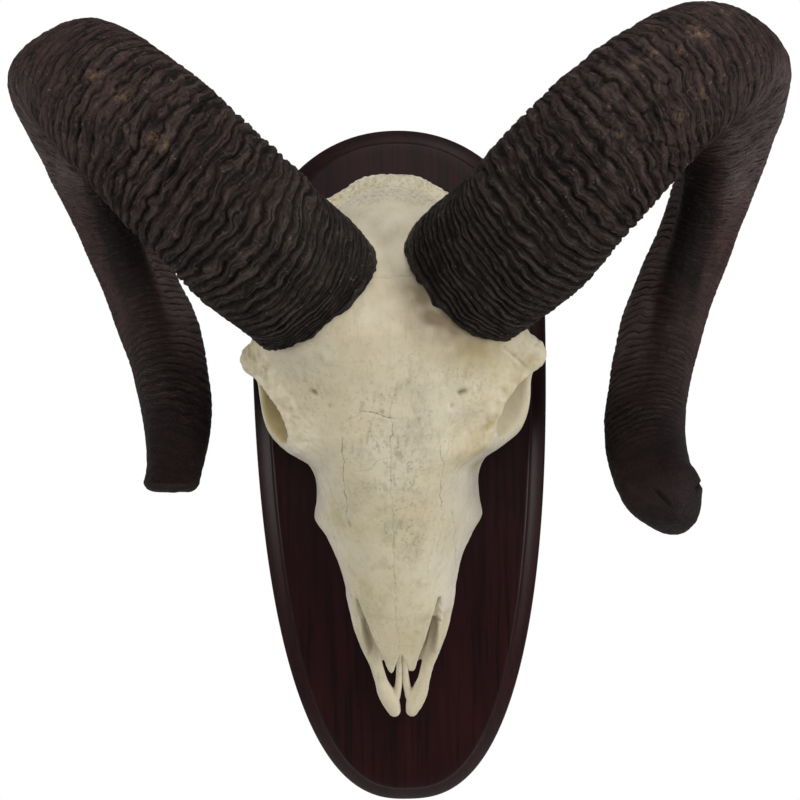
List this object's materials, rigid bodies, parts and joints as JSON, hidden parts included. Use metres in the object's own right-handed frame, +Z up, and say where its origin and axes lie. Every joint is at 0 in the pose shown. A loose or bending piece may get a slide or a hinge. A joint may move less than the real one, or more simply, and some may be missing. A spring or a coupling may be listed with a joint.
{
  "type": "ram skull mounted on a wall plaque",
  "caption": "Horned ram skull without its lower jaw, mounted nose down on an egg-shaped dark wooden wall plaque.",
  "frame": {"origin": "middle of the plaque's flat back, which lies on the wall", "axes": "+Z up the wall, towards the back of the skull; the nose points down; +Y into the wall; +X to the viewer's right, which is the ram's left"},
  "size_m": [0.3849, 0.2041, 0.4157],
  "materials": {
    "bone": "dry, matte, slightly porous bone",
    "horn": "ridged brown-black horn",
    "wood": "dark red-brown lacquered mahogany",
    "steel": "satin"
  },
  "bodies": {
    "root": {"skull": "bone", "horn_right": "horn", "horn_left": "horn", "plaque": "wood", "hanger_plate": "steel"}
  },
  "joints": []
}
